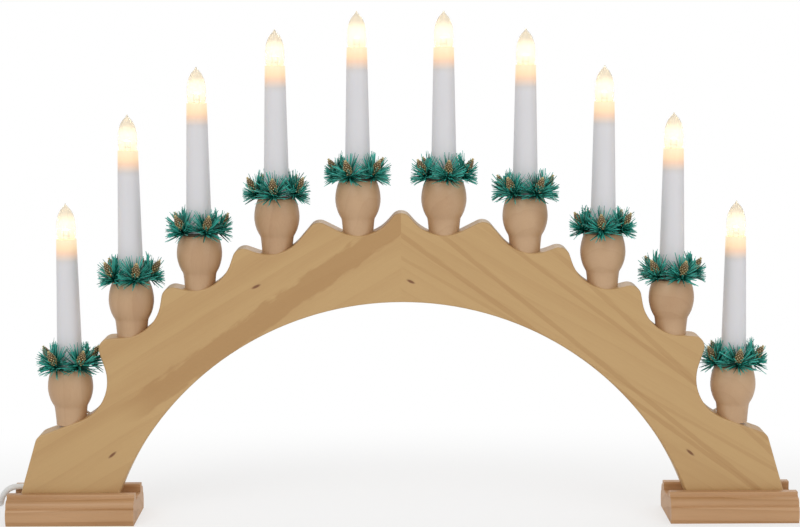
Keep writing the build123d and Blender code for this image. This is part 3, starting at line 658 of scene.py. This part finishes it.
# Wood of the arch, feet and cups
class CANDLEARCH_OT_wood(bpy.types.Operator):
    """Finish the arch halves, feet, cups and dowels in lacquered pine"""

    bl_idname = "candle_arch.wood"
    bl_label = "Finish wood"

    # Radius, and height from the cup's top, in mm
    cup_profile = (
        (0.0, -39.0),
        (10.3, -39.0),
        (10.4, -36.0),
        (10.8, -31.0),
        (11.15, -27.8),
        (11.4, -26.4),
        (11.8, -25.5),
        (12.7, -24.0),
        (13.9, -21.4),
        (14.85, -18.2),
        (15.4, -15.0),
        (15.5, -12.4),
        (15.3, -9.5),
        (14.75, -6.3),
        (14.05, -3.6),
        (13.35, -1.6),
        (12.85, -0.5),
        (12.3, 0.0),
        (8.8, 0.0),
        (8.8, -15.05),
        (4.0, -15.05),
        (4.0, -32.7),
        (0.0, -32.7),
    )
    cup_segments = 48
    hole_height = -29.0
    hole_radius = 2.7
    hole_middle = 14.0
    hole_length = 20.0
    hole_segments = 24
    board_slope = 31
    # Bands: x, z, length of the fade and half width in metres, slope in degrees, strength
    bands_left = ((-0.146, 0.106, 0.03, 0.0085, -35, 0.72),)
    bands_right = (
        (0.025, 0.169, 0.04, 0.0013, 30, 0.3),
        (0.035, 0.1735, 0.04, 0.0018, 36, 0.5),
        (0.067, 0.1665, 0.04, 0.0018, 39, 0.5),
        (0.107, 0.1665, 0.04, 0.0016, 37, 0.45),
        (0.15, 0.145, 0.04, 0.002, 43, 0.4),
    )
    # Resin marks: x, z and half length in metres, slope in degrees
    ticks_left = ((-0.2, 0.047, 0.0046, -40), (-0.099, 0.164, 0.0044, -25))
    ticks_right = ((0.0065, 0.167, 0.004, 25), (0.199, 0.047, 0.0046, 40))
    cup_step_along = 0.11
    cup_depth = 0.021
    cup_height = 0.03
    cup_step_up = 0.012
    cup_step_turn = 7

    def execute(self, context):
        look = context.scene.candle_arch_finish
        board = (look.pine_light, look.pine_dark)
        turned = (look.cup_light, look.cup_dark)
        left = pine(
            "pine_left_half",
            board,
            turn=(0, self.board_slope, 0),
            shift=(0, 0.05, 0.05),
            ring_scale=16,
            ring_depth=0.14,
            tone_depth=0.3,
            bands=self.bands_left,
            ticks=self.ticks_left,
        )
        right = pine(
            "pine_right_half",
            board,
            turn=(0, -self.board_slope, 0),
            shift=(0.3, 0.035, -0.02),
            ring_scale=26,
            ring_depth=0.13,
            tone_depth=0.16,
            bands=self.bands_right,
            ticks=self.ticks_right,
        )
        foot = pine(
            "pine_foot",
            (look.foot_light, look.pine_dark),
            turn=(0, 0, 0),
            shift=(0.4, 0.03, 0.09),
            ring_scale=40,
            ring_depth=0.5,
            tone_depth=0.5,
        )
        paint("arch_half_left", left)
        paint("arch_half_right", right)
        for node in ("foot_left", "foot_right", "apex_dowels"):
            paint(node, foot)
        blank = self.cup_blank(context)
        for number in CANDLES:
            name = f"{number:02d}"
            cup = pine(
                f"pine_cup_{name}",
                turned,
                turn=(0, 90, self.cup_step_turn * number),
                shift=(
                    self.cup_step_along * number,
                    self.cup_depth,
                    self.cup_height + self.cup_step_up * number,
                ),
                ring_scale=30,
                ring_depth=0.12,
                tone_depth=0.34,
            )
            x, top = candle_spot(number)
            bm = bmesh.new()
            bm.from_mesh(blank)
            bmesh.ops.translate(bm, verts=bm.verts, vec=(x, 0, top))
            finished_piece(f"turned_cup_{name}", bm, [cup], "arch", [f"candle_cup_{name}"])
        bpy.data.meshes.remove(blank)
        return {"FINISHED"}

    def cup_blank(self, context):
        """One turned cup below its top at zero, with the bore and the hole for the wires at the back."""
        form = bmesh.new()
        spun(form, self.cup_profile, 0, 0, self.cup_segments)
        hole = bmesh.new()
        hole_place = (0, self.hole_middle * MM, self.hole_height * MM)
        bmesh.ops.create_cone(
            hole,
            cap_ends=True,
            segments=self.hole_segments,
            radius1=self.hole_radius * MM,
            radius2=self.hole_radius * MM,
            depth=self.hole_length * MM,
            matrix=Matrix.Translation(hole_place) @ Matrix.Rotation(pi / 2, 4, "X"),
        )
        parts = []
        for name, bm in (("cup_form", form), ("wire_hole", hole)):
            bmesh.ops.recalc_face_normals(bm, faces=bm.faces)
            mesh = bpy.data.meshes.new(name)
            bm.to_mesh(mesh)
            bm.free()
            part = bpy.data.objects.new(name, mesh)
            context.scene.collection.objects.link(part)
            parts.append(part)
        cup, drill = parts
        cut = cup.modifiers.new("wire hole", "BOOLEAN")
        cut.operation = "DIFFERENCE"
        cut.object = drill
        context.view_layer.update()
        blank = bpy.data.meshes.new_from_object(cup.evaluated_get(context.evaluated_depsgraph_get()))
        for part in parts:
            mesh = part.data
            bpy.data.objects.remove(part)
            bpy.data.meshes.remove(mesh)
        return blank


# Candle sleeves
class CANDLEARCH_OT_sleeves(bpy.types.Operator):
    """Turn the white candle sleeves, with their collars and the lit top"""

    bl_idname = "candle_arch.sleeves"
    bl_label = "Make sleeves"

    # Radius, and height from the cup's top, in mm
    profile = (
        (7.45, -15.0),
        (8.75, -15.0),
        (8.75, 0.0),
        (10.5, 0.0),
        (10.8, 0.3),
        (10.8, 1.2),
        (10.5, 1.55),
        (10.1, 1.6),
        (9.1, 1.6),
        (8.8, 1.9),
        (8.75, 2.6),
        (8.33, 22.0),
        (7.95, 40.0),
        (7.55, 59.0),
        (7.25, 73.0),
        (7.1, 80.5),
        (7.0, 85.0),
        (6.93, 89.3),
        (6.8, 89.85),
        (6.55, 90.0),
        (6.35, 89.8),
        (6.35, 80.5),
        (5.3, 80.5),
        (5.3, 70.0),
        (1.6, 70.0),
        (1.6, 68.0),
        (6.0, 68.0),
        (7.45, 0.0),
        (7.45, -15.0),
    )
    segments = 40

    def execute(self, context):
        bm = bmesh.new()
        rise = bm.verts.layers.float.new("rise")
        for number in CANDLES:
            x, top = candle_spot(number)
            before = set(bm.verts)
            spun(bm, self.profile, x, top, self.segments)
            for vert in bm.verts:
                if vert not in before:
                    vert[rise] = vert.co.z - top
        finished_piece(
            "white_candle_sleeves", bm, [candle_material()], "arch", ["candle_sleeves"]
        )
        return {"FINISHED"}


# Bulbs
class CANDLEARCH_OT_bulbs(bpy.types.Operator):
    """Blow the pointed bulbs, with their filaments, mounts and screw caps"""

    bl_idname = "candle_arch.bulbs"
    bl_label = "Make bulbs"

    # Radius, and height from the cup's top, in mm
    outside = (
        (4.45, 81.0),
        (4.9, 83.5),
        (5.4, 87.0),
        (5.85, 90.4),
        (6.25, 92.8),
        (6.5, 95.8),
        (6.5, 98.8),
        (6.3, 101.7),
        (5.85, 104.4),
        (5.15, 106.8),
        (4.2, 108.9),
        (3.1, 110.6),
        (2.0, 111.8),
        (1.25, 112.6),
        (0.8, 113.3),
        (0.5, 114.1),
        (0.0, 114.5),
    )
    wall = 0.55
    cap = (
        (0.0, 72.6),
        (1.3, 72.6),
        (1.6, 73.0),
        (1.6, 73.5),
        (3.6, 73.5),
        (4.3, 74.1),
        (4.75, 74.7),
        (4.4, 75.6),
        (4.75, 76.5),
        (4.4, 77.4),
        (4.75, 78.3),
        (4.4, 79.2),
        (4.75, 80.1),
        (4.6, 81.0),
        (0.0, 81.0),
    )
    segments = 32
    mount_spread = 1.8
    mount_low = 81.0
    mount_top = 96.0
    lead_radius = 0.38
    lead_segments = 8
    bead_height = 92.2
    bead_size = (2.9, 0.7, 0.6, 1)
    bead_segments = 12
    bead_rings = 8
    filament_turns = 9
    filament_bow = 0.8
    filament_radius = 0.34
    filament_turn_width = 0.3
    filament_segments = 10

    def execute(self, context):
        materials = lamp_materials()
        for number in CANDLES:
            x, top = candle_spot(number)
            bm = bmesh.new()
            rise = bm.verts.layers.float.new("rise")
            inside = [(r - self.wall, z) for r, z in self.outside[:-3]] + [(0.0, self.outside[-2][1])]
            spun(bm, [*inside[::-1], *self.outside], x, top, self.segments)
            glass = set(bm.faces)
            spun(bm, self.cap, x, top, self.segments)
            cap = set(bm.faces) - glass
            self.rods(bm, x, top)
            mount = set(bm.faces) - glass - cap
            self.filament(bm, x, top)
            wire = set(bm.faces) - glass - cap - mount
            for material, faces in enumerate((glass, wire, mount, cap)):
                for face in faces:
                    face.material_index = material
            for vert in bm.verts:
                vert[rise] = vert.co.z - top
            name = f"{number:02d}"
            finished_piece(f"lit_bulb_{name}", bm, materials, f"lamp_{name}", [f"bulb_{name}"])
        return {"FINISHED"}

    def rods(self, bm, x, top):
        """Two lead wires, and the glass bead that holds them apart."""
        middle = (self.mount_low + self.mount_top) / 2
        for side in (-1, 1):
            place = Vector((x + side * self.mount_spread * MM, 0, top + middle * MM))
            bmesh.ops.create_cone(
                bm,
                cap_ends=True,
                segments=self.lead_segments,
                radius1=self.lead_radius * MM,
                radius2=self.lead_radius * MM,
                depth=(self.mount_top - self.mount_low) * MM,
                matrix=Matrix.Translation(place),
            )
        bead = Matrix.Translation((x, 0, top + self.bead_height * MM)) @ Matrix.Diagonal(self.bead_size)
        bmesh.ops.create_uvsphere(
            bm, u_segments=self.bead_segments, v_segments=self.bead_rings, radius=MM, matrix=bead
        )

    def filament(self, bm, x, top):
        """A bowed row of small turns between the ends of the leads."""
        for turn in range(self.filament_turns):
            share = turn / (self.filament_turns - 1) * 2 - 1
            height = self.mount_top + self.filament_bow * (1 - share**2)
            place = Vector((x + share * self.mount_spread * MM, 0, top + height * MM))
            bmesh.ops.create_cone(
                bm,
                cap_ends=True,
                segments=self.filament_segments,
                radius1=self.filament_radius * MM,
                radius2=self.filament_radius * MM,
                depth=self.filament_turn_width * MM,
                matrix=Matrix.Translation(place) @ Matrix.Rotation(pi / 2, 4, "Y"),
            )


# Wreaths
class CANDLEARCH_OT_wreaths(bpy.types.Operator):
    """Wind the wire rings and set their tufts of needles and their cones"""

    bl_idname = "candle_arch.wreaths"
    bl_label = "Make wreaths"

    # Places in the list of materials
    cone_finish = 1
    ring_finish = 2
    # Turn of each wreath round its candle, in degrees
    turns = (20.0, 74.0, 8.0, 50.0, 31.0, 63.0, 14.0, 44.0, 2.0, 57.0)
    ring_radius = 12.4
    ring_wire_radius = 0.8
    ring_lift = 1.1
    ring_steps = 60
    ring_wire_segments = 8
    bud_tilt = 60.0
    bud_length = 4.2
    needle_lean = (28, 98)
    needle_foot = (0.4, 3.4)
    needle_length_share = (0.62, 1.0)
    needle_tip_share = 0.16
    needle_flatness = 0.55
    needle_segments = 4
    fit_tries = 12
    fit_shrink = 0.92
    fit_lift = Vector((0, 0, 0.12))
    fit_push = 12
    candle_room = 10.2
    droop = 6.0
    cone_rows = 9
    cone_scales = 7
    cone_radius = 2.9
    cone_tip_radius = 0.25
    belly_start_share = 0.16
    belly_power = 0.8
    scale_root = 0.9
    scale_tip = 0.5
    scale_length = 1.9
    scale_size = 1.15
    scale_size_drop = 0.5
    scale_lean = 58
    scale_lean_drop = 40
    scale_seat_share = 0.72
    scale_flatness = 0.45
    scale_segments = 6
    scale_root_tone = 0.15
    scale_tip_tone = 0.9
    core_middle_share = 0.48
    core_reach_share = 0.47
    core_slimness = 0.46
    core_segments = 10
    core_rings = 8

    def execute(self, context):
        look = context.scene.candle_arch_finish
        ring_wire = moulded("wreath_ring_brown", look.ring_brown, roughness=0.6, scale=900)
        materials = [needle_material(), cone_material(), ring_wire]
        for number, turn in zip(CANDLES, self.turns):
            self.wreath(context, number, turn, materials)
        return {"FINISHED"}

    def wreath(self, context, number, turn, materials):
        """One wreath: its ring, and tufts of needles with a cone in each."""
        size = context.scene.candle_arch_wreath
        chance = Random(number)
        x, top = candle_spot(number)
        centre = Vector((x, 0, top + self.ring_lift * MM))
        bm = bmesh.new()
        tip = bm.verts.layers.float.new("tip")
        shade = bm.verts.layers.float.new("shade")
        self.ring(bm, centre)
        for tuft in range(size.tufts):
            angle = radians(turn) + tuft * tau / size.tufts
            outward = Vector((cos(angle), sin(angle), 0))
            aside = Vector((-sin(angle), cos(angle), 0))
            tilt = radians(self.bud_tilt)
            axis = outward * cos(tilt) + Vector((0, 0, sin(tilt)))
            across = outward * sin(tilt) - Vector((0, 0, cos(tilt)))
            root = centre + outward * (self.ring_radius * MM)
            for _ in range(size.needles):
                self.needle(bm, (tip, shade), size, chance, centre, root, axis, across, aside)
            self.cone(bm, tip, size, root + axis * (self.bud_length * MM), axis)
        name = f"{number:02d}"
        finished_piece(
            f"fir_wreath_{name}", bm, materials, f"ring_{name}", [f"wreath_{name}"]
        )

    def ring(self, bm, centre):
        """The plain wire ring that carries the tufts."""
        start = centre + Vector((self.ring_radius * MM, 0, 0))
        circle = bmesh.ops.create_circle(
            bm,
            segments=self.ring_wire_segments,
            radius=self.ring_wire_radius * MM,
            matrix=Matrix.Translation(start) @ Matrix.Rotation(pi / 2, 4, "X"),
        )
        edges = list({edge for vert in circle["verts"] for edge in vert.link_edges})
        bmesh.ops.spin(
            bm,
            geom=circle["verts"] + edges,
            cent=centre,
            axis=(0, 0, 1),
            angle=tau,
            steps=self.ring_steps,
            use_merge=True,
        )
        for face in bm.faces:
            face.material_index = self.ring_finish

    def needle(self, bm, layers, size, chance, centre, root, axis, across, aside):
        """One needle from the bud, within the wreath's reach and clear of the candle."""
        tip, shade = layers
        turn = chance.uniform(0, tau)
        lean = radians(chance.uniform(*self.needle_lean))
        way = axis * cos(lean) + (across * cos(turn) + aside * sin(turn)) * sin(lean)
        foot = root + axis * (chance.uniform(*self.needle_foot) * MM)
        length = size.needle_length * chance.uniform(*self.needle_length_share)
        flat = Vector((1, 1, 0))
        lowest = centre.z - self.droop * MM
        for _ in range(self.fit_tries):
            end = (foot + way * length - centre) * flat
            if end.length > size.reach:
                length *= self.fit_shrink
            if end.length < self.candle_room * MM or (foot + way * length).z < lowest:
                way = (way + self.fit_lift + (foot - centre) * flat * self.fit_push).normalized()
        aim = way.to_track_quat("Z", "Y").to_matrix().to_4x4()
        spin = Matrix.Rotation(chance.uniform(0, pi), 4, "Z")
        flattened = Matrix.Diagonal((1, self.needle_flatness, 1, 1))
        place = Matrix.Translation(foot + way * (length / 2)) @ aim @ spin @ flattened
        made = bmesh.ops.create_cone(
            bm,
            cap_ends=True,
            segments=self.needle_segments,
            radius1=size.needle_width / 2,
            radius2=size.needle_width * self.needle_tip_share,
            depth=length,
            matrix=place,
        )
        tone = chance.random()
        for vert in made["verts"]:
            # Tip is 1 on the outer half of a needle, which gets the painted highlight, and 0 on the root
            # half, which gets the painted shade
            vert[tip] = 1.0 if (vert.co - foot).length > length / 2 else 0.0
            vert[shade] = tone

    def cone(self, bm, tip, size, base, axis):
        """A small fir cone: a turned core with rows of scales round it."""
        aim = Matrix.Translation(base) @ axis.to_track_quat("Z", "Y").to_matrix().to_4x4()
        known = set(bm.faces)
        for row in range(self.cone_rows):
            share = (row + 0.5) / self.cone_rows
            along = self.belly_start_share + (1 - self.belly_start_share) * share
            belly = sin(pi * along**self.belly_power)
            radius = (self.cone_radius * belly + self.cone_tip_radius) * MM
            taper = (self.scale_size - self.scale_size_drop * share) * MM
            lean = Matrix.Rotation(radians(self.scale_lean - self.scale_lean_drop * share), 4, "Y")
            for step in range(self.cone_scales):
                angle = tau * (step + 0.5 * (row % 2)) / self.cone_scales
                place = (
                    aim
                    @ Matrix.Translation((0, 0, share * size.cone_length))
                    @ Matrix.Rotation(angle, 4, "Z")
                    @ Matrix.Translation((radius * self.scale_seat_share, 0, 0))
                    @ lean
                    @ Matrix.Diagonal((self.scale_flatness, 1, 1, 1))
                )
                made = bmesh.ops.create_cone(
                    bm,
                    cap_ends=True,
                    segments=self.scale_segments,
                    radius1=self.scale_root * taper,
                    radius2=self.scale_tip * taper,
                    depth=self.scale_length * MM,
                    matrix=place,
                )
                inward = place.inverted()
                for vert in made["verts"]:
                    outer = (inward @ vert.co).z > 0
                    vert[tip] = self.scale_tip_tone if outer else self.scale_root_tone
        core = aim @ Matrix.Translation((0, 0, size.cone_length * self.core_middle_share))
        bmesh.ops.create_uvsphere(
            bm,
            u_segments=self.core_segments,
            v_segments=self.core_rings,
            radius=size.cone_length * self.core_reach_share,
            matrix=core @ Matrix.Diagonal((self.core_slimness, self.core_slimness, 1, 1)),
        )
        for face in set(bm.faces) - known:
            face.material_index = self.cone_finish


# Metal parts and wiring
class CANDLEARCH_OT_fittings(bpy.types.Operator):
    """Finish the sockets, contacts, screws, staples and wires"""

    bl_idname = "candle_arch.fittings"
    bl_label = "Finish fittings"

    def execute(self, context):
        look = context.scene.candle_arch_finish
        brass = moulded("socket_brass", look.brass, roughness=0.3, scale=700, metal=1.0)
        steel = moulded("zinc_steel", look.steel, roughness=0.35, scale=700, metal=1.0)
        wire = moulded("wire_insulation", look.cord_white, roughness=0.4, scale=500)
        paint("lamp_sockets", brass)
        for number in CANDLES:
            paint(f"contact_leaf_{number:02d}", brass)
        for node in ("foot_screws", "strap_screws", "wire_staples"):
            paint(node, steel)
        for node in ("link_wires", "feed_wires"):
            paint(node, wire)
        return {"FINISHED"}


OPERATORS = (
    CANDLEARCH_OT_stage,
    CANDLEARCH_OT_cord,
    CANDLEARCH_OT_wood,
    CANDLEARCH_OT_sleeves,
    CANDLEARCH_OT_bulbs,
    CANDLEARCH_OT_wreaths,
    CANDLEARCH_OT_fittings,
)


class CANDLEARCH_PT_panel(bpy.types.Panel):
    """Lists the steps and values of the candle arch"""

    bl_idname = "CANDLEARCH_PT_panel"
    bl_label = "Candle Arch"
    bl_space_type = "VIEW_3D"
    bl_region_type = "UI"
    bl_category = "Candle Arch"

    def draw(self, context):
        for operator in OPERATORS:
            self.layout.operator(operator.bl_idname)
        for group in (context.scene.candle_arch_finish, context.scene.candle_arch_wreath):
            for key in group.bl_rna.properties.keys():
                if key not in {"rna_type", "name"}:
                    self.layout.prop(group, key)


CLASSES = (CandleArchFinish, CandleArchWreath, *OPERATORS, CANDLEARCH_PT_panel)


def register():
    for cls in CLASSES:
        bpy.utils.register_class(cls)
    bpy.types.Scene.candle_arch_finish = bpy.props.PointerProperty(type=CandleArchFinish)
    bpy.types.Scene.candle_arch_wreath = bpy.props.PointerProperty(type=CandleArchWreath)


def unregister():
    del bpy.types.Scene.candle_arch_wreath
    del bpy.types.Scene.candle_arch_finish
    for cls in reversed(CLASSES):
        bpy.utils.unregister_class(cls)


def main():
    register()
    grain_group()
    speckle_group()
    bpy.ops.candle_arch.stage()
    bpy.ops.candle_arch.cord()
    bpy.ops.candle_arch.wood()
    bpy.ops.candle_arch.sleeves()
    bpy.ops.candle_arch.bulbs()
    bpy.ops.candle_arch.wreaths()
    bpy.ops.candle_arch.fittings()


if __name__ == "__main__":
    main()
